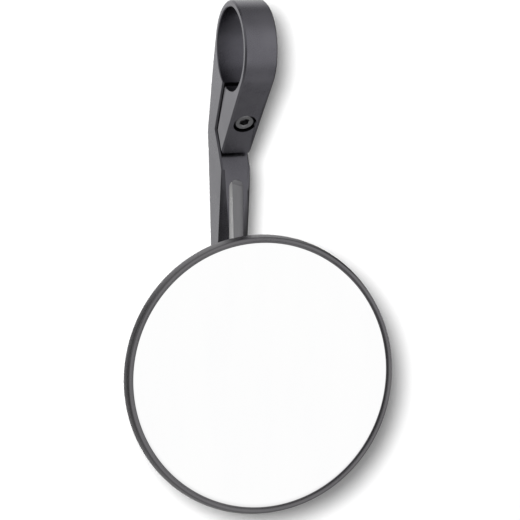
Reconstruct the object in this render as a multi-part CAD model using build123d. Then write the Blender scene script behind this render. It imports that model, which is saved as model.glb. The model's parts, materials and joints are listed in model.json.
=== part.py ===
from build123d import *
import math
import os

# Motorcycle bar end mirror, in millimetres.
# Origin: centre of the clamp bore. +X runs along the handlebar, -Y faces the rider, +Z is up.

# Clamp ring and ear
bore_diameter = 30.0
bore_chamfer = 0.3
ring_wall = 2.3
ring_width = 12.0
edge_chamfer = 0.6
ear_slope = 43.4  # front face of the ear, degrees from upright
back_slope = 17.0  # back face behind the ring, degrees from upright

# Clamping slit: one leg drops from the bore, the other comes forward to the shoulder
slit_width = 2.2
slit_upper_slope = 30.0
slit_lower_slope = 27.0
slit_mouth = 30.8  # where it leaves the bore, degrees back from straight down

# Arm, side view
arm_front = 11.4  # plane of the front face, behind the bar's axis
shoulder_drop = 43.6  # shoulder edge below the bar's axis
knee_depth = 27.9  # rearmost point of the back
knee_drop = 31.0
knee_radius = 7.0
arm_back_slope = 4.5  # the back leans forward below the knee

# Arm, front view
arm_width = 10.9
taper_start = 8.0
taper_end = 38.0
pad_radius = 7.5
pad_blend = 12.0

# Through slot and front facets of the arm
slot_width = 5.3
slot_top_drop = 47.3
slot_pad_gap = 4.0
slot_flare_width = 1.5  # the slot opens out this much at the back
slot_flare_depth = 4.0
facet_start_width = 1.1
facet_start_depth = 0.6
facet_end_width = 2.7
facet_end_depth = 3.3
facet_end_drop = 66.0
facet_run_out = 8.0

# Clamp screw, M4 socket head
clamp_screw_diameter = 4.0
clamp_head_diameter = 7.0
clamp_head_height = 4.0
clamp_hex = 3.0
clamp_hex_depth = 2.0
clamp_screw_length = 18.0
clamp_screw_place = 20.4  # along the ear from where it leaves the ring
counterbore_diameter = 8.4
counterbore_depth = 4.6
clamp_hole_clearance = 0.4
thread_clearance = 0.1  # on diameter, between a screw and its tapped hole
tapped_spare = 1.0
cut_over = 1.0  # how far a cut runs past the face it leaves by

# Ball joint
mirror_drop = 114.25  # mirror centre below the bar's axis
stand_off = 14.9  # ball centre in front of the arm
ball_diameter = 12.0
neck_diameter = 5.0
collar_diameter = 9.0
collar_thickness = 2.5
collar_across = 8.0  # spanner flats
stud_diameter = 5.0
stud_hole_clearance = 0.2
stud_spare = 1.2
washer_diameter = 10.0
washer_thickness = 1.0
nut_across = 8.0
nut_height = 5.0
nut_collar_diameter = 6.8
nut_collar_height = 1.4
screw_edge = 0.4
spot_face_clearance = 1.0
spot_face_depth = 1.0

# Ball seats and what loads them
seat_clearance = 0.1
seat_thickness = 1.3
seat_rear_opening = 46.0  # half angle of the rear seat's mouth
seat_rear_end = 74.0
seat_front_end = 106.0
front_seat_web = 2.0
front_seat_wall = 2.5
socket_opening = 48.5  # half angle of the housing's mouth
spring_thickness = 0.5
spring_height = 0.9
spring_bore = 8.4
spring_diameter = 15.2
spring_play = 0.05
retainer_radius = 17.0
retainer_thickness = 1.8
retainer_bore = 6.0
retainer_fit = 0.2
retainer_screw_count = 3
retainer_screw_circle = 13.0
retainer_screw_diameter = 2.5
retainer_head_diameter = 4.7
retainer_screw_length = 6.0
retainer_hex = 1.5
retainer_hex_depth = 0.8

# Mirror head
glass_opening = 95.0  # inside of the lip
lip_width = 2.4
lip_recess = 0.8  # glass edge behind the front of the lip
lip_edge = 0.3
rim_edge = 0.6
rim_draft = 0.95  # the rim widens this much from its front to its back
glass_thickness = 2.0
glass_radius = 1200.0  # convex
glass_fit = 0.45
glass_edge = 0.15
pad_thickness = 0.8
pad_margin = 1.5
pad_clear = 0.5  # behind the pad, over the retainer plate
side_depth = 3.7
side_round = 0.8
back_dome_rise = 9.8
boss_radius = 10.5
boss_reach = 6.0  # end of the boss behind the ball centre
boss_blend = 2.5
boss_edge = 0.8
dish_wall = 2.4
relief_inner = 20.0
relief_outer = 42.0


# Values that follow from the driving dimensions
bore_radius = bore_diameter / 2
ring_radius = bore_radius + ring_wall
ball_radius = ball_diameter / 2
ball_y = arm_front - stand_off
mirror_radius = glass_opening / 2 + lip_width
head_axis = Axis((0, ball_y, -mirror_drop), (0, 1, 0))
head_plane = Plane(origin=(0, 0, -mirror_drop), x_dir=(1, 0, 0), z_dir=(0, 0, 1))

front_seat_y = ball_y - ball_radius - seat_clearance - front_seat_web
ledge_y = front_seat_y - spring_height
retainer_y = ledge_y - retainer_thickness
pad_back_y = retainer_y - pad_clear
glass_front_y = pad_back_y - pad_thickness - glass_thickness
sphere_y = glass_front_y + glass_radius  # centre of the glass curve
glass_disc_radius = glass_opening / 2 - glass_fit


def on_slope(degrees):
    """Unit step down a slope that leans back from upright, in the side view."""
    angle = math.radians(degrees)
    return Vector(math.sin(angle), -math.cos(angle))


def crossing(point_a, step_a, point_b, step_b):
    """Point where two lines of the side view cross."""
    cross = step_a.X * step_b.Y - step_a.Y * step_b.X
    gap = point_b - point_a
    along = (gap.X * step_b.Y - gap.Y * step_b.X) / cross
    return point_a + step_a * along


def sphere_depth(radius, r):
    """Y of a sphere about the glass curve's centre, at distance r from the mirror's axis."""
    return sphere_y - math.sqrt(radius**2 - r**2)


def turned(profile):
    """Revolve a profile, drawn as radius against Y, about the mirror's axis."""
    return revolve(head_plane * profile, axis=head_axis)


# Lines of the side view: x is Y of the part, y is Z
ear_step = on_slope(ear_slope)
ear_normal = Vector(ear_step.Y, -ear_step.X)
ear_root = ear_normal * ring_radius
back_step = on_slope(back_slope)
back_root = Vector(-back_step.Y, back_step.X) * ring_radius
knee = Vector(knee_depth, -knee_drop)
arm_back_step = on_slope(-arm_back_slope)
shoulder = Vector(arm_front, -shoulder_drop)
lower_step = on_slope(-slit_lower_slope)
lower_normal = Vector(lower_step.Y, -lower_step.X)  # from the shoulder's slope towards the ear
upper_step = on_slope(slit_upper_slope)
upper_normal = Vector(-upper_step.Y, upper_step.X)  # from the ear towards the back
slit_mouth_point = on_slope(slit_mouth) * bore_radius
ear_tip = crossing(ear_root, ear_step, shoulder + lower_normal * slit_width, lower_step)
arm_end = -(mirror_drop + pad_radius)
half_arm = arm_width / 2
slot_bottom = -(mirror_drop - pad_radius - slot_pad_gap)

# Seat of the clamp screw: on the ear's front face, looking out of it
screw_point = ear_root + ear_step * clamp_screw_place
screw_plane = Plane(
    origin=(0, screw_point.X, screw_point.Y),
    x_dir=(1, 0, 0),
    z_dir=(0, ear_normal.X, ear_normal.Y),
)


def arm_back_at(z):
    """Y of the arm's back face at a height below the knee."""
    return knee.X + arm_back_step.X * (z - knee.Y) / arm_back_step.Y


spot_radius = (washer_diameter + spot_face_clearance) / 2
spot_floor = arm_back_at(-mirror_drop - spot_radius) - spot_face_depth


def round_corner(face, point, radius):
    """Fillet the corner of a flat outline that lies nearest to a point."""
    return fillet(face.vertices().sort_by_distance(point)[0], radius)


def side_outline():
    """Side view of ring, ear, shoulder and arm, with the bore and the slit still closed."""
    body = Polyline(
        (0, 0),
        ear_root,
        ear_tip,
        shoulder,
        (arm_front, arm_end),
        (arm_back_at(arm_end), arm_end),
        knee,
        back_root,
        (0, 0),
    )
    face = round_corner(make_face(body), (knee.X, knee.Y), knee_radius)
    return face + Circle(ring_radius)


def front_outline():
    """Front view: full width at the ring, a slight taper to the arm, and the round pad."""
    half_ring = ring_width / 2
    top = ring_radius * 2
    strip = make_face(
        Polyline(
            (-half_ring, top),
            (half_ring, top),
            (half_ring, -taper_start),
            (half_arm, -taper_end),
            (half_arm, -mirror_drop),
            (-half_arm, -mirror_drop),
            (-half_arm, -taper_end),
            (-half_ring, -taper_start),
            (-half_ring, top),
        )
    )
    outline = strip + Pos(0, -mirror_drop) * Circle(pad_radius)
    neck_z = -mirror_drop + math.sqrt(pad_radius**2 - half_arm**2)
    for side in (-1, 1):
        outline = round_corner(outline, (side * half_arm, neck_z), pad_blend)
    return outline


def slit_outline():
    """Side view of the two legs of the clamping slit."""
    half = slit_width / 2
    back = slit_mouth_point + upper_normal * half
    front = slit_mouth_point - upper_normal * half
    ear_side = shoulder + lower_normal * slit_width
    into_bore = upper_step * -bore_radius / 2
    run_out = lower_step * slit_width * 3
    return make_face(
        Polyline(
            back + into_bore,
            crossing(back, upper_step, shoulder, lower_step),
            shoulder + run_out,
            ear_side + run_out,
            crossing(front, upper_step, ear_side, lower_step),
            front + into_bore,
            back + into_bore,
        )
    )


def facet_section(z, width, depth):
    """Corner cut from one front edge of the arm, at one height."""
    over = pad_radius
    inner = half_arm - width
    outer = half_arm + over
    corner = make_face(
        Polyline(
            (inner, arm_front),
            (inner, arm_front - over),
            (outer, arm_front - over),
            (outer, arm_front + depth * (width + over) / width),
            (inner, arm_front),
        )
    )
    return Pos(0, 0, z) * corner


def arm_facets():
    """Facets that start at the shoulder, deepen down the arm and run out above the pad."""
    right = loft(
        [
            facet_section(-shoulder_drop, facet_start_width, facet_start_depth),
            facet_section(-facet_end_drop, facet_end_width, facet_end_depth),
            facet_section(slot_bottom + facet_run_out, facet_end_width, facet_end_depth),
            facet_section(slot_bottom, facet_end_width / 10, facet_end_depth / 10),
        ],
        ruled=True,
    )
    return [right, mirror(right, Plane.YZ)]


def arm_slot():
    """Round-ended slot right through the arm."""
    top = -slot_top_drop
    outline = Pos(0, (top + slot_bottom) / 2) * SlotOverall(top - slot_bottom, slot_width, rotation=90)
    return extrude(Plane.XZ * outline, knee_depth * 2, both=True)


def slot_flare():
    """Tapered mouth of the slot in the arm's sloping back."""
    middle = (slot_bottom - slot_top_drop) / 2
    inward = Plane(
        origin=(0, arm_back_at(middle), middle),
        x_dir=(1, 0, 0),
        z_dir=(0, arm_back_step.Y, -arm_back_step.X),
    )
    depth = slot_flare_depth + cut_over
    spread = slot_flare_width * depth / slot_flare_depth
    length = (slot_bottom + slot_top_drop) / arm_back_step.Y + 2 * spread
    mouth = inward.offset(-cut_over) * SlotOverall(length, slot_width + 2 * spread, rotation=90)
    return extrude(mouth, depth, taper=math.degrees(math.atan(slot_flare_width / slot_flare_depth)))


def along_head(radius, y_start, y_end):
    """Cylinder on the mirror's axis, between two planes."""
    start = Plane(origin=(0, y_start, -mirror_drop), x_dir=(1, 0, 0), z_dir=(0, 1, 0))
    return extrude(start * Circle(radius), y_end - y_start)


def build_clamp_arm():
    """Ring, ear, arm and pad, milled from one block."""
    half_depth = max(ring_width / 2, pad_radius)
    side = extrude(Plane.YZ * side_outline(), half_depth, both=True)
    front = extrude(Plane.XZ * front_outline(), knee_depth * 2, both=True)
    body = side & front
    body -= extrude(Plane.YZ * slit_outline(), ring_width, both=True)
    flank_edges = [e for f in body.faces() if abs(f.normal_at().Y) < 0.001 for e in f.edges()]
    body = chamfer([e for e in flank_edges if flank_edges.count(e) == 1], edge_chamfer)
    bore = extrude(Plane.YZ * Circle(bore_radius), ring_width, both=True)
    flare = Cone(bore_radius + bore_chamfer * 2, bore_radius, bore_chamfer * 2)
    body -= bore
    for side in (-1, 1):
        end = Plane(origin=(side * ring_width / 2, 0, 0), z_dir=(-side, 0, 0))
        body -= end * flare
    body -= arm_facets()
    body -= arm_slot()
    body -= slot_flare()
    body -= clamp_screw_hole()
    hole_radius = (stud_diameter + stud_hole_clearance) / 2
    body -= along_head(hole_radius, arm_front - cut_over, spot_floor + cut_over)
    body -= along_head(spot_radius, spot_floor, knee_depth * 2)
    return body


def clamp_screw_hole():
    """Counterbore and clearance hole in the ear, tapped hole behind the slit."""
    to_slit = crossing(screw_point, ear_normal, slit_mouth_point, upper_step)
    slit_depth = (to_slit - screw_point).length
    tapped_depth = counterbore_depth + clamp_screw_length + tapped_spare
    counterbore = extrude(Circle(counterbore_diameter / 2), slit_depth, both=True)
    counterbore &= Pos(0, 0, slit_depth - counterbore_depth) * Box(ring_width, ring_width, slit_depth * 2)
    clearance = extrude(Circle((clamp_screw_diameter + clamp_hole_clearance) / 2), -slit_depth)
    tapped = extrude(Circle((clamp_screw_diameter + thread_clearance) / 2), -tapped_depth)
    return screw_plane * (counterbore + clearance + tapped)


def build_clamp_screw():
    """Socket head cap screw."""
    head = Cylinder(clamp_head_diameter / 2, clamp_head_height, align=(Align.CENTER, Align.CENTER, Align.MIN))
    head = chamfer(head.edges().group_by(Axis.Z)[-1], screw_edge)
    hexagon = RegularPolygon(clamp_hex / 2, 6, major_radius=False)
    head -= Pos(0, 0, clamp_head_height) * extrude(hexagon, -clamp_hex_depth)
    shank = extrude(Circle(clamp_screw_diameter / 2), -clamp_screw_length)
    shank = chamfer(shank.edges().group_by(Axis.Z)[0], screw_edge)
    return screw_plane * Pos(0, 0, -counterbore_depth) * (head + shank)


def polar(radius, degrees):
    """Point at an angle from straight behind the ball, as radius against Y."""
    angle = math.radians(degrees)
    return (radius * math.sin(angle), ball_y + radius * math.cos(angle))


def polar_arc(radius, start, end):
    """Arc about the ball's centre."""
    return ThreePointArc(polar(radius, start), polar(radius, (start + end) / 2), polar(radius, end))


def sphere_arc(radius, r_start, r_end):
    """Arc about the centre of the glass curve."""
    r_mid = (r_start + r_end) / 2
    points = [(r, sphere_depth(radius, r)) for r in (r_start, r_mid, r_end)]
    return ThreePointArc(*points)


def build_ball_stud():
    """Ball, neck, spanner collar and threaded shank, turned from one bar."""
    neck = neck_diameter / 2
    neck_angle = math.degrees(math.asin(neck / ball_radius))
    shank = stud_diameter / 2
    collar_y = arm_front - collar_thickness
    end_y = spot_floor + washer_thickness + nut_height + stud_spare
    ball = polar_arc(ball_radius, 180, neck_angle)
    rest = Polyline(
        polar(ball_radius, neck_angle),
        (neck, collar_y),
        (collar_diameter / 2, collar_y),
        (collar_diameter / 2, arm_front),
        (shank, arm_front),
        (shank, end_y - screw_edge),
        (shank - screw_edge, end_y),
        (0, end_y),
        polar(ball_radius, 180),
    )
    stud = turned(make_face(ball + rest))
    flat = Box(collar_diameter, collar_thickness, collar_diameter, align=(Align.CENTER, Align.MAX, Align.MIN))
    for side in (0, 180):
        place = Pos(0, arm_front, -mirror_drop) * Rot(0, side, 0) * Pos(0, 0, collar_across / 2)
        stud -= place * flat
    return stud


def build_stud_washer():
    hole = along_head((stud_diameter + stud_hole_clearance) / 2, spot_floor, spot_floor + washer_thickness)
    return along_head(washer_diameter / 2, spot_floor, spot_floor + washer_thickness) - hole


def build_stud_nut():
    """Hexagon lock nut with a round collar."""
    start_y = spot_floor + washer_thickness
    hex_end = start_y + nut_height - nut_collar_height
    start = Plane(origin=(0, start_y, -mirror_drop), x_dir=(1, 0, 0), z_dir=(0, 1, 0))
    nut = extrude(start * RegularPolygon(nut_across / 2, 6, major_radius=False), hex_end - start_y)
    corner = nut_across / math.sqrt(3)
    bevel = corner - nut_across / 2
    blank = make_face(
        Polyline(
            (0, start_y),
            (nut_across / 2, start_y),
            (corner, start_y + bevel),
            (corner, hex_end - bevel),
            (nut_across / 2, hex_end),
            (0, hex_end),
            (0, start_y),
        )
    )
    nut &= turned(blank)
    nut += along_head(nut_collar_diameter / 2, start_y, start_y + nut_height)
    hole_radius = (stud_diameter + thread_clearance) / 2
    return nut - along_head(hole_radius, start_y - cut_over, start_y + nut_height + cut_over)


# Spheres of the ball joint
seat_inner = ball_radius + seat_clearance
seat_outer = seat_inner + seat_thickness
socket_radius = seat_outer + seat_clearance
front_seat_radius = seat_inner + front_seat_wall
front_seat_back_y = polar(seat_inner, seat_front_end)[1]


def build_rear_ball_seat():
    """Ring of a sphere between the back of the ball and the housing."""
    inner = polar_arc(seat_inner, seat_rear_opening, seat_rear_end)
    outer = polar_arc(seat_outer, seat_rear_end, seat_rear_opening)
    front = Line(inner @ 1, outer @ 0)
    back = Line(outer @ 1, inner @ 0)
    return turned(make_face(inner + front + outer + back))


def build_front_ball_seat():
    """Cup that the spring presses on the front of the ball."""
    cup = polar_arc(seat_inner, 180, seat_front_end)
    rest = Polyline(
        cup @ 1,
        (front_seat_radius, front_seat_back_y),
        (front_seat_radius, front_seat_y),
        (0, front_seat_y),
        cup @ 0,
    )
    return turned(make_face(cup + rest))


def build_seat_spring():
    """Disc spring: its inner edge on the front seat, its outer edge on the retainer plate."""
    inner = spring_bore / 2
    outer = spring_diameter / 2
    seat_side = front_seat_y - spring_play
    cone = Polyline(
        (inner, seat_side),
        (inner, seat_side - spring_thickness),
        (outer, ledge_y),
        (outer, ledge_y + spring_thickness),
        (inner, seat_side),
    )
    return turned(make_face(cone))


def retainer_places():
    """Planes of the retainer screws, on the front of the plate and looking forward."""
    step = 2 * math.pi / retainer_screw_count
    for i in range(retainer_screw_count):
        x = retainer_screw_circle * math.sin(i * step)
        z = retainer_screw_circle * math.cos(i * step) - mirror_drop
        yield Plane(origin=(x, retainer_y, z), x_dir=(1, 0, 0), z_dir=(0, -1, 0))


retainer_head_height = (retainer_head_diameter - retainer_screw_diameter) / 2


def build_retainer_plate():
    """Plate that closes the ball socket."""
    plate = along_head(retainer_radius, retainer_y, ledge_y)
    plate -= along_head(retainer_bore / 2, retainer_y - cut_over, ledge_y + cut_over)
    hole_radius = (retainer_screw_diameter + thread_clearance) / 2
    head_radius = (retainer_head_diameter + thread_clearance) / 2
    sink = extrude(Circle(hole_radius), -retainer_thickness * 2)
    sink += Pos(0, 0, -retainer_head_height / 2) * Cone(hole_radius, head_radius, retainer_head_height)
    for place in retainer_places():
        plate -= place * sink
    return plate


def build_retainer_screws():
    """Countersunk screws, flush with the plate."""
    shank_radius = retainer_screw_diameter / 2
    head_radius = retainer_head_diameter / 2
    screw = Pos(0, 0, -retainer_head_height / 2) * Cone(shank_radius, head_radius, retainer_head_height)
    screw += extrude(Circle(shank_radius), -retainer_screw_length)
    screw -= extrude(RegularPolygon(retainer_hex / 2, 6, major_radius=False), -retainer_hex_depth)
    return Compound(children=[place * screw for place in retainer_places()])


# Front and back of the dish
glass_edge_y = sphere_depth(glass_radius, glass_disc_radius)
lip_y = glass_edge_y - lip_recess
side_back_y = lip_y + side_depth
dome_apex_y = side_back_y + back_dome_rise
dome_radius = (mirror_radius**2 + back_dome_rise**2) / (2 * back_dome_rise)
floor_radius = glass_radius - glass_thickness - pad_thickness


def dome_depth(r, wall=0.0):
    """Y of the dish's domed back, or of its inner face one wall deeper."""
    return dome_apex_y - dome_radius + math.sqrt((dome_radius - wall) ** 2 - r**2)


def dome_arc(r_start, r_end, wall=0.0):
    """Arc of the domed back."""
    points = [(r, dome_depth(r, wall)) for r in (r_start, (r_start + r_end) / 2, r_end)]
    return ThreePointArc(*points)


def build_mirror_housing():
    """Turned dish: lip, side wall, domed back, ball socket in a boss, and pockets inside."""
    opening = glass_opening / 2
    retainer_pocket = retainer_radius + retainer_fit
    boss_y = ball_y + boss_reach
    step_y = front_seat_back_y + seat_clearance
    seat_pocket = front_seat_radius + seat_clearance
    mouth = polar(socket_radius, socket_opening)
    rim = Polyline(
        (opening, sphere_depth(floor_radius, opening)),
        (opening, lip_y),
        (mirror_radius - rim_draft, lip_y),
        (mirror_radius, side_back_y),
    )
    back = dome_arc(mirror_radius, boss_radius)
    boss = Polyline(
        back @ 1,
        (boss_radius, boss_y),
        (boss_reach * math.tan(math.radians(socket_opening)), boss_y),
        mouth,
    )
    socket = polar_arc(socket_radius, socket_opening, 90)
    pockets = Polyline(
        socket @ 1,
        (socket_radius, step_y),
        (seat_pocket, step_y),
        (seat_pocket, ledge_y),
        (retainer_pocket, ledge_y),
        (retainer_pocket, sphere_depth(floor_radius, retainer_pocket)),
    )
    inner_floor = sphere_arc(floor_radius, retainer_pocket, relief_inner)
    relief = dome_arc(relief_inner, relief_outer, dish_wall)
    outer_floor = sphere_arc(floor_radius, relief_outer, opening)
    relief_walls = Line(inner_floor @ 1, relief @ 0) + Line(relief @ 1, outer_floor @ 0)
    outline = rim + back + boss + socket + pockets + inner_floor + relief_walls + relief + outer_floor
    face = make_face(outline)
    for point, radius in (
        ((mirror_radius - rim_draft, lip_y), rim_edge),
        ((opening, lip_y), lip_edge),
        ((mirror_radius, side_back_y), side_round),
        ((boss_radius, dome_depth(boss_radius)), boss_blend),
        ((boss_radius, boss_y), boss_edge),
    ):
        face = round_corner(face, point, radius)
    dish = turned(face)
    tapped_radius = (retainer_screw_diameter + thread_clearance) / 2
    tapped = extrude(Circle(tapped_radius), -retainer_screw_length - tapped_spare)
    for place in retainer_places():
        dish -= place * tapped
    return dish


def build_mirror_glass():
    """Convex glass of even thickness with a ground edge."""
    front = sphere_arc(glass_radius, 0, glass_disc_radius)
    back = sphere_arc(glass_radius - glass_thickness, glass_disc_radius, 0)
    face = make_face(front + Line(front @ 1, back @ 0) + back + Line(back @ 1, front @ 0))
    corner = face.vertices().sort_by_distance((glass_disc_radius, glass_edge_y))[0]
    return turned(chamfer(corner, glass_edge))


def build_glass_pad():
    """Adhesive pad between the glass and the dish."""
    radius = glass_disc_radius - pad_margin
    front = sphere_arc(glass_radius - glass_thickness, 0, radius)
    back = sphere_arc(floor_radius, radius, 0)
    return turned(make_face(front + Line(front @ 1, back @ 0) + back + Line(back @ 1, front @ 0)))


pieces = {
    "clamp_arm": build_clamp_arm(),
    "clamp_screw": build_clamp_screw(),
    "ball_stud": build_ball_stud(),
    "stud_washer": build_stud_washer(),
    "stud_nut": build_stud_nut(),
    "rear_ball_seat": build_rear_ball_seat(),
    "front_ball_seat": build_front_ball_seat(),
    "seat_spring": build_seat_spring(),
    "retainer_plate": build_retainer_plate(),
    "retainer_screws": build_retainer_screws(),
    "mirror_housing": build_mirror_housing(),
    "glass_pad": build_glass_pad(),
    "mirror_glass": build_mirror_glass(),
}

os.makedirs("parts", exist_ok=True)
for name, piece in pieces.items():
    export_step(piece, f"parts/{name}.step")
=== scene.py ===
# %% [markdown]
# # A bar end mirror, dressed in cells
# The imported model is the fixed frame: every piece already sits at its real place, in metres.
# We load it first and keep its box, because nothing that we add may make the mirror larger.

# %% Load the frame
import json
import math
import bmesh
import bpy
from mathutils import Matrix, Vector


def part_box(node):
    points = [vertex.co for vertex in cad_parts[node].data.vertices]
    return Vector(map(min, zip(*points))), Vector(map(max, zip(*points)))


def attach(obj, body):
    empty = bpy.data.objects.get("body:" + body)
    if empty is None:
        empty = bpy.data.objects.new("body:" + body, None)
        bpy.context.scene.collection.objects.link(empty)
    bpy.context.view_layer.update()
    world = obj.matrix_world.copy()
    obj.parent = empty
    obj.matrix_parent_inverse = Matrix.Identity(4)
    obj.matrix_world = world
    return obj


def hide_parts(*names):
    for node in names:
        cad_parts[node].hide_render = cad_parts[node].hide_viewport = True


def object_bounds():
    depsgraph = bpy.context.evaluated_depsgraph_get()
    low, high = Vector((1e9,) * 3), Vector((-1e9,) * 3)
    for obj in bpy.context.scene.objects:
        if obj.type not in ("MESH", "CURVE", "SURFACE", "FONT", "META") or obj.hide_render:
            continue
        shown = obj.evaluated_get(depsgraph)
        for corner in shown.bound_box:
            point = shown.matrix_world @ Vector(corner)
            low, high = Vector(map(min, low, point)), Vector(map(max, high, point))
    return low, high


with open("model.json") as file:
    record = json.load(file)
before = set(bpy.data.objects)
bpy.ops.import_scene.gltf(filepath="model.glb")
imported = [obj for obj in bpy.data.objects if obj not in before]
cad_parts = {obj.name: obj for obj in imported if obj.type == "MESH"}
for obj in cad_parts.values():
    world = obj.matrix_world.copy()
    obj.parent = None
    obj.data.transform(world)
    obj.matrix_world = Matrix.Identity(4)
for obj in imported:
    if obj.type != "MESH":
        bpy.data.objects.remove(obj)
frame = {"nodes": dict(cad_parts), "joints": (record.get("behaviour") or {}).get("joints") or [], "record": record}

MM = 0.001
cad_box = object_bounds()
nodes = frame["nodes"]
slot_of = {part["node"]: part["material_slot"] for part in frame["record"]["subparts"]}
body_of = {node: body for body, members in frame["record"]["behaviour"]["bodies"].items() for node in members}

# %% [markdown]
# The photograph looks at the mirror from a little to the left and a little above.
# The edge of the glass and the edge of the clamp bore are both circles on the real part, so their
# two ellipses in the photograph fix the angle, the distance and the lens of the camera.

# %% Camera at the photograph's angle
CAMERA_AZIMUTH = -18.62
CAMERA_ELEVATION = 6.31
CAMERA_DISTANCE = 1.2
CAMERA_TARGET = Vector((5.13, 0.0, -75.2)) * MM
FRAME_PIXELS = 520
PIXELS_PER_MM = 2.809

azimuth = math.radians(CAMERA_AZIMUTH)
elevation = math.radians(CAMERA_ELEVATION)
camera_back = Vector((
    math.sin(azimuth) * math.cos(elevation),
    -math.cos(azimuth) * math.cos(elevation),
    math.sin(elevation),
))
camera = bpy.data.objects.new("camera", bpy.data.cameras.new("camera"))
bpy.context.scene.collection.objects.link(camera)
camera.location = CAMERA_TARGET + camera_back * CAMERA_DISTANCE
camera.rotation_euler = camera_back.to_track_quat("Z", "Y").to_euler()
camera.data.sensor_width = 36.0
focal_pixels = PIXELS_PER_MM * CAMERA_DISTANCE / MM
camera.data.lens = camera.data.sensor_width * focal_pixels / FRAME_PIXELS
camera.data.clip_start = 0.05
camera.data.dof.use_dof = False
bpy.context.scene.camera = camera
bpy.context.scene.view_settings.view_transform = "Standard"
print("lens", round(camera.data.lens, 1), "mm")

# %% [markdown]
# ## Finishes
# A material is a tree of nodes. These helpers add a node and plug it in with one call, so that each
# finish below reads as a short recipe. Values that never change over the surface go straight on the
# shader's own sockets; only what varies is wired.


# %% Helpers for node trees
def add(tree, kind, links=(), **settings):
    """Add a node, set its properties, and plug a socket or set a value in each named input."""
    node = tree.nodes.new(kind)
    for key, value in settings.items():
        setattr(node, key, value)
    for key, source in dict(links).items():
        if isinstance(source, bpy.types.NodeSocket):
            tree.links.new(source, node.inputs[key])
        else:
            node.inputs[key].default_value = source
    return node


def maths(tree, operation, first, second=0.0):
    """One Math node; gives its output."""
    return add(tree, "ShaderNodeMath", {0: first, 1: second}, operation=operation).outputs[0]


def blend(tree, factor, low, high):
    """Slide between two colours; gives the colour output."""
    return add(tree, "ShaderNodeMix", {0: factor, 6: low, 7: high}, data_type="RGBA").outputs[2]


def span(tree, value, low, high, to_low=0.0, to_high=1.0):
    """Map a range of values smoothly onto another; gives the output."""
    links = {0: value, 1: low, 2: high, 3: to_low, 4: to_high}
    return add(tree, "ShaderNodeMapRange", links, interpolation_type="SMOOTHSTEP").outputs[0]


def new_group(name, inputs, outputs):
    """An empty node group with named sockets; gives the group and its two end nodes."""
    group = bpy.data.node_groups.new(name, "ShaderNodeTree")
    for label, kind in inputs.items():
        group.interface.new_socket(label, in_out="INPUT", socket_type=kind)
    for label, kind in outputs.items():
        group.interface.new_socket(label, in_out="OUTPUT", socket_type=kind)
    return group, group.nodes.new("NodeGroupInput"), group.nodes.new("NodeGroupOutput")


def new_material(name, **sockets):
    """A material with one Principled shader; gives the material, its tree and the shader."""
    material = bpy.data.materials.new(name)
    material.use_nodes = True
    shader = material.node_tree.nodes["Principled BSDF"]
    for label, value in sockets.items():
        shader.inputs[label.replace("_", " ")].default_value = value
    return material, material.node_tree, shader


FLOAT, COLOUR = "NodeSocketFloat", "NodeSocketColor"
print("node helpers ready")

# %% [markdown]
# Blasted and anodised aluminium is never quite even: the blasting leaves a fine pitted grain, and the
# dye takes a little more here than there. Both come from noise on Object coordinates, so the grain has
# a real size in metres and stays put when the mirror head moves. Arm, housing and screws all need it,
# so it is a node group, and each of them plugs in its own sizes and colours.


# %% Grain group
GRAIN_DETAIL = 2.0
CLOUD_DETAIL = 3.0
GRAIN_SHARE = 0.35
CLOUD_SHARE = 0.65
SPREAD_FROM = 0.35
SPREAD_TO = 0.65


def make_grain():
    inputs = {"Grain": FLOAT, "Cloud": FLOAT, "Smooth": FLOAT, "Rough": FLOAT}
    inputs |= {"Dark": COLOUR, "Light": COLOUR}
    outputs = {"Color": COLOUR, "Roughness": FLOAT, "Height": FLOAT}
    group, start, end = new_group("satin_grain", inputs, outputs)
    place = add(group, "ShaderNodeTexCoord").outputs["Object"]

    def noise(size, detail):
        links = {"Vector": place, "Scale": maths(group, "DIVIDE", 1.0, size), "Detail": detail}
        return add(group, "ShaderNodeTexNoise", links).outputs[0]

    grain = noise(start.outputs["Grain"], GRAIN_DETAIL)
    cloud = noise(start.outputs["Cloud"], CLOUD_DETAIL)
    fine = maths(group, "MULTIPLY", grain, GRAIN_SHARE)
    broad = maths(group, "MULTIPLY", cloud, CLOUD_SHARE)
    spread = span(group, maths(group, "ADD", fine, broad), SPREAD_FROM, SPREAD_TO)
    group.links.new(blend(group, spread, start.outputs["Dark"], start.outputs["Light"]), end.inputs["Color"])
    rough = span(group, spread, 0.0, 1.0, start.outputs["Smooth"], start.outputs["Rough"])
    group.links.new(rough, end.inputs["Roughness"])
    group.links.new(grain, end.inputs["Height"])
    return group


satin_grain = make_grain()
print("group", satin_grain.name)

# %% [markdown]
# The dish of the mirror comes off a lathe, so its faces carry very fine rings about the mirror's axis.
# The distance from that axis, read from Object coordinates, drives a wave; a little noise in the
# distance keeps the rings from looking printed.

# %% Turned rings group
HEAD_Z = sum(corner.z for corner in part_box("mirror_glass")) / 2
WANDER_SCALE = 60.0
WANDER = 0.0004


def from_axis(tree, place):
    """Distance from the mirror's axis, and the three coordinates that it came from."""
    axes = add(tree, "ShaderNodeSeparateXYZ", {0: place}).outputs
    up = maths(tree, "SUBTRACT", axes["Z"], HEAD_Z)
    square = maths(tree, "ADD", maths(tree, "POWER", axes["X"], 2.0), maths(tree, "POWER", up, 2.0))
    return maths(tree, "SQRT", square), axes


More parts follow.
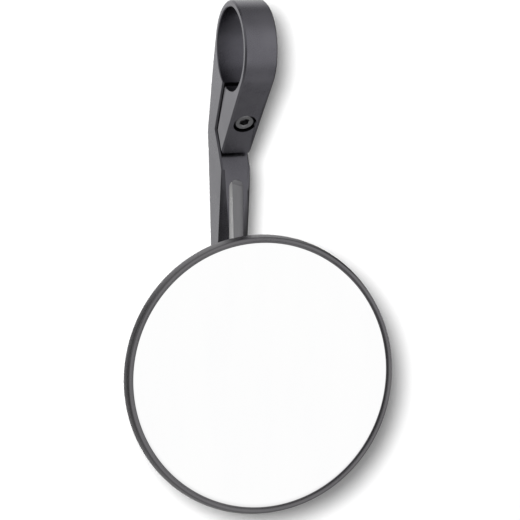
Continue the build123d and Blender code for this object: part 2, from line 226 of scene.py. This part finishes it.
def make_rings():
    group, start, end = new_group("turned_rings", {"Pitch": FLOAT}, {"Height": FLOAT})
    place = add(group, "ShaderNodeTexCoord").outputs["Object"]
    distance, axes = from_axis(group, place)
    wander = add(group, "ShaderNodeTexNoise", {"Vector": place, "Scale": WANDER_SCALE}).outputs[0]
    radius = maths(group, "ADD", distance, maths(group, "MULTIPLY", wander, WANDER))
    along = maths(group, "ADD", radius, axes["Y"])
    turns = maths(group, "DIVIDE", along, start.outputs["Pitch"])
    wave = maths(group, "SINE", maths(group, "MULTIPLY", turns, math.tau))
    group.links.new(maths(group, "ADD", maths(group, "MULTIPLY", wave, 0.5), 0.5), end.inputs["Height"])
    return group


turned_rings = make_rings()
print("group", turned_rings.name, "about z =", round(HEAD_Z, 4))

# %% [markdown]
# The two anodised finishes share the grain. A black anodised skin reflects like a dark metal, so the
# Principled shader is fully metallic with a dark base colour; its slight blue comes from the dye.


# %% Anodised aluminium
def grained(name, grain, cloud, dark, light, smooth, rough, bump, **sockets):
    """A material whose colour, roughness and bump come from the grain group."""
    material, tree, shader = new_material(name, **sockets)
    links = {"Grain": grain, "Cloud": cloud, "Dark": dark, "Light": light, "Smooth": smooth, "Rough": rough}
    group = add(tree, "ShaderNodeGroup", node_tree=satin_grain)
    for label, value in links.items():
        group.inputs[label].default_value = value
    tree.links.new(group.outputs["Color"], shader.inputs["Base Color"])
    tree.links.new(group.outputs["Roughness"], shader.inputs["Roughness"])
    links = {"Strength": bump, "Distance": grain, "Height": group.outputs["Height"]}
    raised = add(tree, "ShaderNodeBump", links)
    tree.links.new(raised.outputs["Normal"], shader.inputs["Normal"])
    return material, tree, raised


arm_skin, arm_tree, _ = grained(
    "arm skin", grain=0.0002, cloud=0.012, dark=(0.127, 0.124, 0.140, 1), light=(0.159, 0.156, 0.173, 1),
    smooth=0.27, rough=0.34, bump=0.12, Metallic=1.0)
dish_skin, dish_tree, dish_bump = grained(
    "dish skin", grain=0.0002, cloud=0.02, dark=(0.138, 0.134, 0.141, 1), light=(0.170, 0.166, 0.173, 1),
    smooth=0.27, rough=0.34, bump=0.1, Metallic=1.0)
RING_PITCH = 0.0003
RING_STRENGTH = 0.08
rings = add(dish_tree, "ShaderNodeGroup", {"Pitch": RING_PITCH}, node_tree=turned_rings)
links = {"Strength": RING_STRENGTH, "Distance": RING_PITCH, "Height": rings.outputs["Height"]}
ring_bump = add(dish_tree, "ShaderNodeBump", links)
dish_tree.links.new(ring_bump.outputs["Normal"], dish_bump.inputs["Normal"])
print("anodised:", arm_skin.name, dish_skin.name)

# %% [markdown]
# The bore and the slot get painted shade: the skin colour is darkened there to stand in for the shade in those
# recesses, and the milled walls of the slot stay rougher. Two masks find those places from Object coordinates: one
# from the distance to the bar's axis, one from the distance to the slot's middle line. Mix nodes in Multiply mode
# darken the skin only where a mask is white. A slow ramp in Z paints shade towards the lower end of the arm as
# well.

# %% Painted shade in recesses
BORE_RADIUS = 0.015
SLOT_HALF = 0.00265
SLOT_TOP = -0.0473
SLOT_BOTTOM = -0.10275
HAIR = 0.0001
# Z range over which painted shade deepens towards the lower end of the arm.
LOW_SHADE_FROM = -0.012
LOW_SHADE_TO = -0.036


def from_slot(tree, axes):
    """Distance from the slot's middle line; the slot goes round its two ends in half circles."""
    over = maths(tree, "SUBTRACT", axes["Z"], SLOT_TOP - SLOT_HALF)
    under = maths(tree, "SUBTRACT", SLOT_BOTTOM + SLOT_HALF, axes["Z"])
    past = maths(tree, "MAXIMUM", maths(tree, "MAXIMUM", over, under), 0.0)
    square = maths(tree, "ADD", maths(tree, "POWER", axes["X"], 2.0), maths(tree, "POWER", past, 2.0))
    return maths(tree, "SQRT", square)


def shade_recesses(tree, bore_shade_tint, slot_shade_tint, milled, low_shade_tint):
    """Paint shade into the colour in bore and slot and low on the arm, and roughen the milled slot."""
    base = tree.nodes["Principled BSDF"].inputs["Base Color"]
    skin = base.links[0].from_socket
    place = add(tree, "ShaderNodeTexCoord").outputs["Object"]
    axes = add(tree, "ShaderNodeSeparateXYZ", {0: place}).outputs
    square = maths(tree, "ADD", maths(tree, "POWER", axes["Y"], 2.0), maths(tree, "POWER", axes["Z"], 2.0))
    bore = span(tree, maths(tree, "SQRT", square), BORE_RADIUS, BORE_RADIUS + HAIR, 1.0, 0.0)
    slot = span(tree, from_slot(tree, axes), SLOT_HALF, SLOT_HALF + HAIR, 1.0, 0.0)
    # Painted shade ramp: darker towards the lower end of the arm.
    low = span(tree, axes["Z"], LOW_SHADE_FROM, LOW_SHADE_TO)
    shaded = skin
    # Each tint multiplies the skin colour: painted shade in the bore, in the slot and low on the arm.
    for mask, tint in ((bore, bore_shade_tint), (slot, slot_shade_tint), (low, low_shade_tint)):
        links = {0: mask, 6: shaded, 7: tint}
        shaded = add(tree, "ShaderNodeMix", links, data_type="RGBA", blend_type="MULTIPLY").outputs[2]
    tree.links.new(shaded, base)
    roughness = tree.nodes["Principled BSDF"].inputs["Roughness"]
    links = {0: slot, 2: roughness.links[0].from_socket, 3: milled}
    tree.links.new(add(tree, "ShaderNodeMix", links).outputs[0], roughness)


# Tints of painted shade for the bore, the slot and the lower arm.
shade_recesses(arm_tree, bore_shade_tint=(0.68, 0.68, 0.7, 1), slot_shade_tint=(0.76, 0.76, 0.78, 1), milled=0.42,
               low_shade_tint=(0.8, 0.8, 0.8, 1))
print("recesses shaded in", arm_skin.name)

# %% [markdown]
# The screws are steel: the clamp screw is chemically blackened, the stud, washer and nut are zinc
# plated, the spring and its plate are bare. The same grain group serves all three.

# %% Steel
screw_skin, _, _ = grained(
    "black steel", grain=0.0003, cloud=0.004, dark=(0.17, 0.17, 0.175, 1), light=(0.23, 0.23, 0.235, 1),
    smooth=0.28, rough=0.38, bump=0.1, Metallic=1.0)
stud_skin, _, _ = grained(
    "zinc steel", grain=0.0003, cloud=0.003, dark=(0.42, 0.43, 0.46, 1), light=(0.56, 0.56, 0.56, 1),
    smooth=0.26, rough=0.36, bump=0.08, Metallic=1.0)
spring_skin, _, _ = grained(
    "bare steel", grain=0.0002, cloud=0.006, dark=(0.46, 0.46, 0.46, 1), light=(0.56, 0.56, 0.55, 1),
    smooth=0.3, rough=0.42, bump=0.1, Metallic=1.0)
print("steel:", screw_skin.name, stud_skin.name, spring_skin.name)

# %% [markdown]
# The ball turns in two seats of natural plastic, and a foam pad holds the glass. Neither is metal, so
# the same grain drives an ordinary coloured surface; the plastic lets a little light in below its skin.

# %% Plastic and foam
seat_skin, _, _ = grained(
    "natural plastic", grain=0.0004, cloud=0.008, dark=(0.74, 0.73, 0.68, 1), light=(0.82, 0.81, 0.77, 1),
    smooth=0.4, rough=0.5, bump=0.05, Subsurface_Weight=0.1, Subsurface_Scale=0.001)
pad_skin, _, _ = grained(
    "foam", grain=0.0003, cloud=0.004, dark=(0.02, 0.02, 0.02, 1), light=(0.05, 0.05, 0.05, 1),
    smooth=0.8, rough=0.95, bump=0.4)
print("soft:", seat_skin.name, pad_skin.name)

# %% [markdown]
# The glass is silvered, so it acts as a mirror with almost no roughness of its own. A faint film,
# noise stretched into soft streaks, dulls it here and there. Where the edge is ground, near the full
# radius of the disc, the silver gives way to grey-green glass.

# %% Mirror
GLASS_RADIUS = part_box("mirror_glass")[1].x
GROUND_WIDTH = 0.0001
GROUND_ROUGH = 0.4
SILVER = (0.985, 0.985, 0.985, 1)
FILMED = (0.975, 0.975, 0.978, 1)
GROUND = (0.20, 0.24, 0.22, 1)
STREAKS = (60.0, 60.0, 12.0)
FILM_DETAIL = 4.0
FILM_FROM, FILM_TO = 0.4, 0.7
CLEAN_ROUGH, FILM_ROUGH = 0.01, 0.035


def make_mirror():
    material, tree, shader = new_material("silvered glass", Metallic=1.0)
    place = add(tree, "ShaderNodeTexCoord").outputs["Object"]
    distance, _ = from_axis(tree, place)
    edge = span(tree, distance, GLASS_RADIUS - GROUND_WIDTH, GLASS_RADIUS)
    stretch = add(tree, "ShaderNodeMapping", {"Vector": place, "Scale": STREAKS}).outputs[0]
    links = {"Vector": stretch, "Scale": 1.0, "Detail": FILM_DETAIL}
    film = add(tree, "ShaderNodeTexNoise", links).outputs[0]
    silver = blend(tree, span(tree, film, FILM_FROM, FILM_TO), SILVER, FILMED)
    tree.links.new(blend(tree, edge, silver, GROUND), shader.inputs["Base Color"])
    film_rough = span(tree, film, FILM_FROM, FILM_TO, CLEAN_ROUGH, FILM_ROUGH)
    dull = maths(tree, "ADD", film_rough, maths(tree, "MULTIPLY", edge, GROUND_ROUGH))
    tree.links.new(dull, shader.inputs["Roughness"])
    return material


mirror_skin = make_mirror()
skins = {
    "arm_anodised": arm_skin,
    "housing_anodised": dish_skin,
    "screw_steel": screw_skin,
    "stud_steel": stud_skin,
    "spring_steel": spring_skin,
    "seat_plastic": seat_skin,
    "pad_foam": pad_skin,
    "mirror_silver": mirror_skin,
}
print("finishes:", sorted(skins))

# %% [markdown]
# ## Pieces
# Much of the mirror is turned about one axis, so a profile of radius against Y, spun once round, gives
# each of those pieces. The spin merges its last step into its first, so the skin is closed.
# Corners are rounded afterwards with a bevel on the ring of edges that the corner became.


# %% Helpers for pieces
MERGE = 1e-7
NEAR = 0.01


def lathe(profile, segments, closed=True):
    """Spin a profile of (radius, y) in millimetres about the mirror's axis."""
    mesh = bmesh.new()
    points = [mesh.verts.new((r * MM, y * MM, HEAD_Z)) for r, y in profile]
    ends = points[1:] + points[:1] if closed else points[1:]
    edges = [mesh.edges.new(pair) for pair in zip(points, ends)]
    bmesh.ops.spin(mesh, geom=points + edges, cent=(0, 0, HEAD_Z), axis=(0, 1, 0), angle=math.tau,
                   steps=segments, use_merge=True)
    bmesh.ops.remove_doubles(mesh, verts=mesh.verts, dist=MERGE)
    bmesh.ops.recalc_face_normals(mesh, faces=mesh.faces)
    return mesh


def off_axis(vert):
    """Distance of a vertex from the mirror's axis, in millimetres."""
    return math.hypot(vert.co.x, vert.co.z - HEAD_Z) / MM


def round_ring(mesh, radius, y, width, segments=4):
    """Bevel the ring of edges at one corner of the profile."""
    def at_corner(vert):
        return abs(off_axis(vert) - radius) < NEAR and abs(vert.co.y / MM - y) < NEAR

    ring = [edge for edge in mesh.edges if all(at_corner(vert) for vert in edge.verts)]
    bmesh.ops.bevel(mesh, geom=ring, offset=width * MM, affect="EDGES", segments=segments, profile=0.5,
                    material=-1, clamp_overlap=True)
    bmesh.ops.remove_doubles(mesh, verts=mesh.verts, dist=MERGE)


def stations(start, end, count):
    """Evenly spaced values from start to end."""
    return [start + (end - start) * i / count for i in range(count + 1)]


def settle(mesh, node, smooth=35):
    """Turn a bmesh into a piece that takes the place of a CAD node."""
    data = bpy.data.meshes.new(node)
    mesh.to_mesh(data)
    mesh.free()
    data.shade_smooth()
    data.set_sharp_from_angle(angle=math.radians(smooth))
    data.materials.append(skins[slot_of[node]])
    piece = bpy.data.objects.new(f"{node}_piece", data)
    bpy.context.scene.collection.objects.link(piece)
    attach(piece, body_of[node])
    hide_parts(node)
    print(piece.name, len(data.vertices), "vertices")


print("piece helpers ready")

# %% [markdown]
# The glass is a disc of even thickness from a large sphere, so it makes the view behind look smaller
# and wider. A shallow arc of points spun about the axis gives the front, the ground edge and the back.

# %% Mirror glass
GLASS_CURVE = 1200.0
GLASS_THICKNESS = 2.0
GLASS_EDGE = 0.12
GLASS_ROUND = 160
GLASS_STEPS = 16
glass_low, glass_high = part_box("mirror_glass")
glass_front = glass_low.y / MM
glass_rim = min(glass_high.x, -glass_low.x) / MM
curve_y = glass_front + GLASS_CURVE


def curved(radius, r):
    """Y of a sphere about the centre of the glass curve."""
    return curve_y - math.sqrt(radius**2 - r**2)


back_curve = GLASS_CURVE - GLASS_THICKNESS
radii = stations(0.0, glass_rim, GLASS_STEPS)
front = [(r, curved(GLASS_CURVE, r)) for r in radii]
back = [(r, curved(back_curve, r)) for r in reversed(radii)]
glass = lathe(front + back, GLASS_ROUND, closed=False)
round_ring(glass, *front[-1], GLASS_EDGE, segments=2)
settle(glass, "mirror_glass")

# %% [markdown]
# The dish is turned from one billet: a narrow lip round the glass, a short side wall, a domed back and
# a boss that holds the ball. Its profile runs once round the section, front lip first. A shoulder just
# below the edge of the glass centres it and closes the gap to the lip. The bevels on lip and boss are
# what catch the light on a real turned edge.

# %% Mirror housing
housing_low, housing_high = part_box("mirror_housing")
GLASS_FIT = 0.45
SHOULDER_FIT = 0.05
SHOULDER_DROP = 0.25
LIP_WIDTH = 2.4
RIM_DRAFT = 0.95
SIDE_DEPTH = 3.7
DOME_RISE = 9.8
DISH_WALL = 2.4
PAD_THICKNESS = 0.8
BOSS_RADIUS = 10.5
RELIEF = (20.0, 42.0)
RETAINER_POCKET = 17.2
SEAT_POCKET = 8.7
SEAT_STEP = 1.6
PLATE_LEDGE = 9.0
SOCKET = 7.5
SOCKET_OPENING = 48.5
LIP_OUTER_EDGE = 0.46
LIP_INNER_EDGE = 0.45
SIDE_EDGE = 0.7
BOSS_ROOT = 2.0
BOSS_EDGE = 0.8
DISH_ROUND = 192
DOME_STEPS = 24
RELIEF_STEPS = 10
SOCKET_STEPS = 8
opening = glass_rim + GLASS_FIT
dish_rim = opening + LIP_WIDTH
shoulder = glass_rim + SHOULDER_FIT
shoulder_y = curved(GLASS_CURVE, glass_rim) + SHOULDER_DROP
lip_y = housing_low.y / MM
boss_y = housing_high.y / MM
ball_y = frame["joints"][0]["pos_m"][1] / MM
side_y = lip_y + SIDE_DEPTH
dome_radius = (dish_rim**2 + DOME_RISE**2) / (2 * DOME_RISE)
floor_curve = back_curve - PAD_THICKNESS


def domed(r, wall=0.0):
    """Y of the domed back, or of its inner face."""
    return side_y + DOME_RISE - dome_radius + math.sqrt((dome_radius - wall) ** 2 - r**2)


ledge_y = ball_y - PLATE_LEDGE
step_y = ball_y - SEAT_STEP
mouth = math.radians(SOCKET_OPENING)
profile = [(opening, lip_y), (dish_rim - RIM_DRAFT, lip_y), (dish_rim, side_y)]
profile += [(r, domed(r)) for r in stations(dish_rim, BOSS_RADIUS, DOME_STEPS)[1:]]
profile += [(BOSS_RADIUS, boss_y), ((boss_y - ball_y) * math.tan(mouth), boss_y)]
angles = stations(mouth, math.pi / 2, SOCKET_STEPS)
profile += [(SOCKET * math.sin(a), ball_y + SOCKET * math.cos(a)) for a in angles]
profile += [(SOCKET, step_y), (SEAT_POCKET, step_y), (SEAT_POCKET, ledge_y)]
profile += [(RETAINER_POCKET, ledge_y), (RETAINER_POCKET, curved(floor_curve, RETAINER_POCKET))]
profile += [(RELIEF[0], curved(floor_curve, RELIEF[0]))]
profile += [(r, domed(r, DISH_WALL)) for r in stations(*RELIEF, RELIEF_STEPS)]
profile += [(RELIEF[1], curved(floor_curve, RELIEF[1])), (shoulder, curved(floor_curve, shoulder))]
profile += [(shoulder, shoulder_y), (opening, shoulder_y)]
housing = lathe(profile, DISH_ROUND)
turned_edges = [
    (dish_rim - RIM_DRAFT, lip_y, LIP_OUTER_EDGE),
    (opening, lip_y, LIP_INNER_EDGE),
    (dish_rim, side_y, SIDE_EDGE),
    (BOSS_RADIUS, domed(BOSS_RADIUS), BOSS_ROOT),
    (BOSS_RADIUS, boss_y, BOSS_EDGE),
]
for radius, y, width in turned_edges:
    round_ring(housing, radius, y, width)
settle(housing, "mirror_housing")

# %% [markdown]
# The arm is milled from one block, and the CAD already has every face of it. Its mesh comes in as loose
# triangles, so their corners are merged and the flat faces are joined into single polygons. Every edge
# that bends by more than 20 degrees is then marked sharp: the cylinders shade as round, and the facets,
# which meet at smaller angles than a box does, keep their crisp borders. The slot opens out at the back. The
# inner edge of that flare, the only points on the slot's wall so far back, slides back along the wall: the
# flare gets shallower, and about as much shows through the slot as in the photograph.

# %% Clamp arm
ARM_MERGE = 2e-6
FLAT_WITHIN = math.radians(0.5)
FLARE_FROM = 0.015
FLARE_SHIFT = 0.0018


def off_slot(vert):
    """Distance of a vertex from the slot's middle line."""
    past = max(vert.co.z - SLOT_TOP + SLOT_HALF, SLOT_BOTTOM + SLOT_HALF - vert.co.z, 0.0)
    return math.hypot(vert.co.x, past)


arm = bmesh.new()
arm.from_mesh(nodes["clamp_arm"].data)
bmesh.ops.remove_doubles(arm, verts=arm.verts, dist=ARM_MERGE)
bmesh.ops.dissolve_limit(arm, angle_limit=FLAT_WITHIN, verts=arm.verts, edges=arm.edges)
flare_edge = [vert for vert in arm.verts if off_slot(vert) < SLOT_HALF + HAIR and vert.co.y > FLARE_FROM]
bmesh.ops.translate(arm, verts=flare_edge, vec=(0, FLARE_SHIFT, 0))
bmesh.ops.recalc_face_normals(arm, faces=arm.faces)
settle(arm, "clamp_arm", smooth=20)

# %% [markdown]
# The clamp screw is a socket head cap screw. Its outside is spun about its own axis. A shallow cone bridges
# the round mouth in its top to a hexagon, which drops straight in and ends in a drilled point. The thread is
# a row of ring-shaped grooves.

# %% Clamp screw
SCREW_SLOPE = math.radians(43.4)
HEAD_RADIUS = 3.5
HEAD_HEIGHT = 4.0
SHANK_RADIUS = 2.0
SHANK_LENGTH = 18.0
SOCKET_ACROSS = 3.0
SOCKET_DEPTH = 2.2
SOCKET_MOUTH = 2.0
MOUTH_DEPTH = 0.3
HEAD_EDGE = 0.4
SOCKET_POINT = 0.6
THREAD_PITCH = 0.7
THREAD_DEPTH = 0.38
THREAD_EDGE = 0.4
PLAIN_NECK = 1.0
RUN_OUT = 1.2
ROUND = 48
FACE_MERGE = 1e-6
outward = Vector((0, -math.cos(SCREW_SLOPE), -math.sin(SCREW_SLOPE)))
corners = [vert.co for vert in nodes["clamp_screw"].data.vertices]
top = max(co.dot(outward) for co in corners)
rim = [co for co in corners if co.dot(outward) > top - FACE_MERGE]
head_top = Vector([(min(co[i] for co in rim) + max(co[i] for co in rim)) / 2 for i in range(3)])
screw_place = Matrix.Translation(head_top) @ outward.to_track_quat("Z", "X").to_matrix().to_4x4()

outline = [(SOCKET_MOUTH, 0), (HEAD_RADIUS - HEAD_EDGE, 0), (HEAD_RADIUS, -HEAD_EDGE)]
outline += [(HEAD_RADIUS, -HEAD_HEIGHT), (SHANK_RADIUS, -HEAD_HEIGHT)]
thread_end = -HEAD_HEIGHT - SHANK_LENGTH
last_turn = thread_end + RUN_OUT * THREAD_PITCH
depth = -HEAD_HEIGHT - PLAIN_NECK
while depth > last_turn:
    outline += [(SHANK_RADIUS, depth), (SHANK_RADIUS - THREAD_DEPTH, depth - THREAD_PITCH / 2)]
    depth -= THREAD_PITCH
outline += [(SHANK_RADIUS, depth), (SHANK_RADIUS - THREAD_EDGE, thread_end), (0, thread_end)]
screw = bmesh.new()
points = [screw.verts.new((r * MM, 0, z * MM)) for r, z in outline]
edges = [screw.edges.new(pair) for pair in zip(points, points[1:])]
bmesh.ops.spin(screw, geom=points + edges, cent=(0, 0, 0), axis=(0, 0, 1), angle=math.tau, steps=ROUND,
               use_merge=True)
bmesh.ops.remove_doubles(screw, verts=screw.verts, dist=MERGE)
mouth_ring = [edge for edge in screw.edges if edge.is_boundary]
hexagon = []
for angle in stations(0.0, math.tau, ROUND)[:-1]:
    reach = SOCKET_ACROSS / 2 / math.cos((angle % (math.tau / 6)) - math.tau / 12)
    corner = Vector((reach * math.cos(angle), reach * math.sin(angle), -MOUTH_DEPTH))
    hexagon.append(screw.verts.new(corner * MM))
socket = [screw.edges.new(pair) for pair in zip(hexagon, hexagon[1:] + hexagon[:1])]
bmesh.ops.bridge_loops(screw, edges=mouth_ring + socket)
wall = bmesh.ops.extrude_edge_only(screw, edges=socket)["geom"]
floor_verts = [item for item in wall if isinstance(item, bmesh.types.BMVert)]
bmesh.ops.translate(screw, verts=floor_verts, vec=(0, 0, -SOCKET_DEPTH * MM))
floor_edges = [item for item in wall if isinstance(item, bmesh.types.BMEdge) and item.is_boundary]
tip = bmesh.ops.extrude_edge_only(screw, edges=floor_edges)["geom"]
tip_verts = [item for item in tip if isinstance(item, bmesh.types.BMVert)]
bmesh.ops.scale(screw, verts=tip_verts, vec=(0, 0, 1))
bmesh.ops.translate(screw, verts=tip_verts, vec=(0, 0, -SOCKET_POINT * MM))
bmesh.ops.remove_doubles(screw, verts=tip_verts, dist=FACE_MERGE)
bmesh.ops.recalc_face_normals(screw, faces=screw.faces)
bmesh.ops.transform(screw, matrix=screw_place, verts=screw.verts)
settle(screw, "clamp_screw", smooth=30)

# %% [markdown]
# The ball stud is one turned piece: ball, neck, a collar with two spanner flats, and the thread. It sits on
# the mirror's axis, so the same lathe makes it. The flats come from pushing back every point of the
# collar that lies too far out.

# %% Ball stud
BALL = 6.0
NECK = 2.5
COLLAR_RADIUS = 4.5
COLLAR_THICKNESS = 2.5
COLLAR_ACROSS = 8.0
COLLAR_EDGE = 0.3
COLLAR_FROM = 3.5
BALL_STEPS = 24
SMALL_ROUND = 96
STAND_OFF = 14.9
STUD_PITCH = 0.8
STUD_ROOT = 2.1
STUD_NECK = 1.0
STUD_EDGE = 0.4
arm_front = ball_y + STAND_OFF
collar_y = arm_front - COLLAR_THICKNESS
stud_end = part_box("ball_stud")[1].y / MM
angles = stations(math.pi, math.asin(NECK / BALL), BALL_STEPS)
profile = [(BALL * math.sin(a), ball_y + BALL * math.cos(a)) for a in angles]
profile += [(NECK, collar_y), (COLLAR_RADIUS, collar_y), (COLLAR_RADIUS, arm_front), (NECK, arm_front)]
turn = arm_front + STUD_NECK
last_turn = stud_end - RUN_OUT * STUD_PITCH
while turn < last_turn:
    profile += [(NECK, turn), (STUD_ROOT, turn + STUD_PITCH / 2)]
    turn += STUD_PITCH
profile += [(NECK, stud_end - STUD_EDGE), (STUD_ROOT, stud_end), (0, stud_end)]
stud = lathe(profile, SMALL_ROUND, closed=False)
round_ring(stud, COLLAR_RADIUS, collar_y, COLLAR_EDGE)
limit = COLLAR_ACROSS / 2 * MM
for vert in stud.verts:
    if off_axis(vert) > COLLAR_FROM and vert.co.y > collar_y * MM - FACE_MERGE:
        vert.co.z = HEAD_Z + max(-limit, min(limit, vert.co.z - HEAD_Z))
settle(stud, "ball_stud", smooth=30)

# %% [markdown]
# Washer and nut are turned in the same way. For the nut, a blank with two chamfers is spun first, and each
# of its points is then pulled in to the nearest flat of the hexagon. The curved line between chamfer and
# flat, which every real nut shows, appears by itself.

# %% Washer and nut
STUD_HOLE = 2.6
WASHER_EDGE = 0.15
washer_low, washer_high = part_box("stud_washer")
washer_y, nut_y = washer_low.y / MM, washer_high.y / MM
washer_radius = washer_high.x / MM
corners = [(STUD_HOLE, washer_y), (washer_radius, washer_y), (washer_radius, nut_y), (STUD_HOLE, nut_y)]
washer = lathe(corners, SMALL_ROUND)
for corner in corners[1:3]:
    round_ring(washer, *corner, WASHER_EDGE, segments=3)
settle(washer, "stud_washer", smooth=30)

NUT_ACROSS = 8.0
NUT_BORE = 2.55
NUT_COLLAR = 3.4
NUT_COLLAR_HEIGHT = 1.4
NUT_COLLAR_EDGE = 0.4
NUT_ROUND = 144
CHAMFER_STEPS = 8
nut_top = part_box("stud_nut")[1].y / MM
hex_top = nut_top - NUT_COLLAR_HEIGHT
flat = NUT_ACROSS / 2
hex_corner = flat / math.cos(math.pi / 6)
chamfer = [(flat + rise, rise) for rise in stations(0.0, hex_corner - flat, CHAMFER_STEPS)]
profile = [(NUT_BORE, nut_y)] + [(r, nut_y + y) for r, y in chamfer]
profile += [(r, hex_top - y) for r, y in reversed(chamfer)]
profile += [(NUT_COLLAR, hex_top), (NUT_COLLAR, nut_top), (NUT_BORE, nut_top)]
nut = lathe(profile, NUT_ROUND)
for vert in nut.verts:
    angle = math.atan2(vert.co.z - HEAD_Z, vert.co.x) % (math.pi / 3) - math.pi / 6
    pull = min(1.0, flat / math.cos(angle) / off_axis(vert))
    vert.co.x *= pull
    vert.co.z = HEAD_Z + (vert.co.z - HEAD_Z) * pull
bmesh.ops.remove_doubles(nut, verts=nut.verts, dist=MERGE)
round_ring(nut, NUT_COLLAR, nut_top, NUT_COLLAR_EDGE)
settle(nut, "stud_nut", smooth=18)

# %% [markdown]
# ## What stays as it came
# Seats, spring, plate, its screws and the pad lie hidden in the head. They keep their CAD meshes and only
# need their finish.

# %% Dress the hidden pieces
ball_seats = ["rear_ball_seat", "front_ball_seat"]
hidden = ball_seats + ["seat_spring", "retainer_plate", "retainer_screws", "glass_pad"]
for node in hidden:
    nodes[node].data.materials.clear()
    nodes[node].data.materials.append(skins[slot_of[node]])
print("dressed:", hidden)

# %% [markdown]
# ## Stage
# The mirror hangs a hand's width in front of a white backdrop, which catches a soft shadow. A round lamp
# beside the camera, a little up and to the left, throws it down and to the right; the wider the lamp,
# the softer the shadow's edge. Seen from behind, the backdrop lets the view through, so the back of the
# mirror can be looked at too. The floor glows a little of itself, which keeps it pale away from the lamp.

# %% Backdrop, floor and lamp
BACKDROP_GAP = 0.1
BACKDROP_Z = -0.08
BACKDROP_HALF = 0.9
FLOOR_Z = -0.32
FLOOR_HALF = 1.5
FLOOR_GLOW = 0.55
FIBRE_SCALE = 40.0
PAPER_DARK = (0.93, 0.93, 0.93, 1)
PAPER_LIGHT = (0.95, 0.95, 0.95, 1)


def stage_plane(name, half, place):
    mesh = bmesh.new()
    bmesh.ops.create_grid(mesh, x_segments=1, y_segments=1, size=half, matrix=place)
    data = bpy.data.meshes.new(name)
    mesh.to_mesh(data)
    mesh.free()
    plane = bpy.data.objects.new(name, data)
    bpy.context.scene.collection.objects.link(plane)
    plane.visible_glossy = False
    return plane


def make_paper(name, see_through=False, glow=0.0):
    material, tree, shader = new_material(name, Roughness=1.0, Specular_IOR_Level=0.0,
                                          Emission_Color=(1, 1, 1, 1), Emission_Strength=glow)
    place = add(tree, "ShaderNodeTexCoord").outputs["Object"]
    fibre = add(tree, "ShaderNodeTexNoise", {"Vector": place, "Scale": FIBRE_SCALE}).outputs[0]
    tree.links.new(blend(tree, fibre, PAPER_DARK, PAPER_LIGHT), shader.inputs["Base Color"])
    if see_through:
        behind = add(tree, "ShaderNodeNewGeometry").outputs["Backfacing"]
        clear = add(tree, "ShaderNodeBsdfTransparent").outputs[0]
        links = {0: behind, 1: shader.outputs[0], 2: clear}
        shown = add(tree, "ShaderNodeMixShader", links).outputs[0]
        tree.links.new(shown, tree.nodes["Material Output"].inputs["Surface"])
    return material


backdrop_y = cad_box[1][1] + BACKDROP_GAP
upright = Matrix.Translation((0, backdrop_y, BACKDROP_Z)) @ Matrix.Rotation(math.pi / 2, 4, "X")
backdrop = stage_plane("backdrop", BACKDROP_HALF, upright)
backdrop.data.materials.append(make_paper("backdrop_paper", see_through=True))
floor = stage_plane("floor", FLOOR_HALF, Matrix.Translation((0, 0, FLOOR_Z)))
floor.data.materials.append(make_paper("floor_paper", glow=FLOOR_GLOW))
floor.visible_diffuse = False

LAMP_LEFT = 0.034
LAMP_UP = 0.03
LAMP_SIZE = 0.078
LAMP_WATTS = 17.6
side = Vector((math.cos(azimuth), math.sin(azimuth), 0.0))
above = camera_back.cross(side)
to_lamp = camera_back * CAMERA_DISTANCE - side * LAMP_LEFT + above * LAMP_UP
lamp = bpy.data.objects.new("lamp", bpy.data.lights.new("lamp", "AREA"))
bpy.context.scene.collection.objects.link(lamp)
lamp.location = CAMERA_TARGET + to_lamp
lamp.rotation_euler = to_lamp.to_track_quat("Z", "Y").to_euler()
lamp.data.shape = "DISK"
lamp.data.size = LAMP_SIZE
lamp.data.energy = LAMP_WATTS
lamp.visible_glossy = False
lamp.visible_camera = False
print("stage: backdrop, floor, lamp")

# %% [markdown]
# Metal shows little but its surroundings, so the world is the real studio light. A camera ray sees plain
# white. A glossy ray sees a dim room with soft panels, each with its direction, the cosines between which
# it fades in, and its strength: above, below and to the right, a dark flag at the rear right, two on the
# left, two behind, and the main one before the glass. White panels keep to a strength of about 1.

# %% World
PANELS = [
    ((0.0, -0.25, 0.97), 0.6, 0.98, 0.62),
    ((0.0, 0.0, -1.0), 0.3, 0.95, 0.64),
    ((1.0, 0.0, 0.0), 0.85, 0.98, 1.0),
    ((0.72, 0.68, -0.1), 0.85, 0.97, 0.12),
    ((-0.7, -0.7, -0.25), 0.88, 0.99, 0.55),
    ((-0.87, -0.13, 0.43), 0.8, 0.97, 0.7),
    ((0.0, 0.8, 0.6), 0.78, 0.95, 1.0),
    ((-0.15, 0.98, 0.0), 0.78, 0.95, 1.05),
    ((0.34, -0.93, 0.1), 0.53, 0.88, 1.0),
]
DIM_LEVEL = 0.18
AMBIENT = 0.29


def make_world():
    world = bpy.data.worlds.new("studio")
    world.use_nodes = True
    tree = world.node_tree
    direction = add(tree, "ShaderNodeTexCoord").outputs["Generated"]
    level = DIM_LEVEL
    for axis, low, high, strength in PANELS:
        links = {0: direction, 1: Vector(axis).normalized()}
        facing = add(tree, "ShaderNodeVectorMath", links, operation="DOT_PRODUCT").outputs["Value"]
        inside = span(tree, facing, low, high)
        level = add(tree, "ShaderNodeMix", {0: inside, 2: level, 3: strength}).outputs[0]
    rays = add(tree, "ShaderNodeLightPath").outputs
    seen = maths(tree, "MAXIMUM", rays["Is Camera Ray"], rays["Is Transmission Ray"])
    light = add(tree, "ShaderNodeMix", {0: rays["Is Glossy Ray"], 2: AMBIENT, 3: level}).outputs[0]
    light = add(tree, "ShaderNodeMix", {0: seen, 2: light, 3: 1.0}).outputs[0]
    tree.links.new(light, tree.nodes["Background"].inputs["Strength"])
    tree.nodes["Background"].inputs["Color"].default_value = (1, 1, 1, 1)
    bpy.context.scene.world = world


make_world()
print("world with", len(PANELS), "panels")
